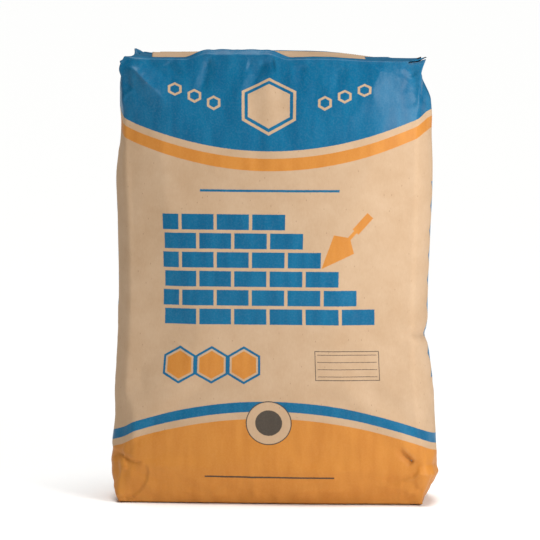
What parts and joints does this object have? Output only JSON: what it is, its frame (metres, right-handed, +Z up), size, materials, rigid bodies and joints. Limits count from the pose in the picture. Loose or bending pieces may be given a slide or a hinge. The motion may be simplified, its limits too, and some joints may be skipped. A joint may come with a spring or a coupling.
{
  "type": "cement bag",
  "caption": "Filled paper valve sack of cement, standing on its pasted block end, with a cover strip on each end and a flat valve sleeve in one top corner.",
  "frame": {"origin": "middle of the bottom cover strip's underside, which the sack stands on", "axes": "+Z up along the sack's height, +X across its width towards the valve, -Y out of the broad front face"},
  "size_m": [0.446, 0.133, 0.6228],
  "materials": {
    "printed_kraft_paper": "matte",
    "plain_kraft_paper": "matte",
    "cement_powder": "matte"
  },
  "bodies": {
    "root": {"paper_sack": "printed_kraft_paper", "cement_fill": "cement_powder", "top_cover_strip": "plain_kraft_paper", "bottom_cover_strip": "plain_kraft_paper", "valve_sleeve": "plain_kraft_paper"}
  },
  "joints": []
}
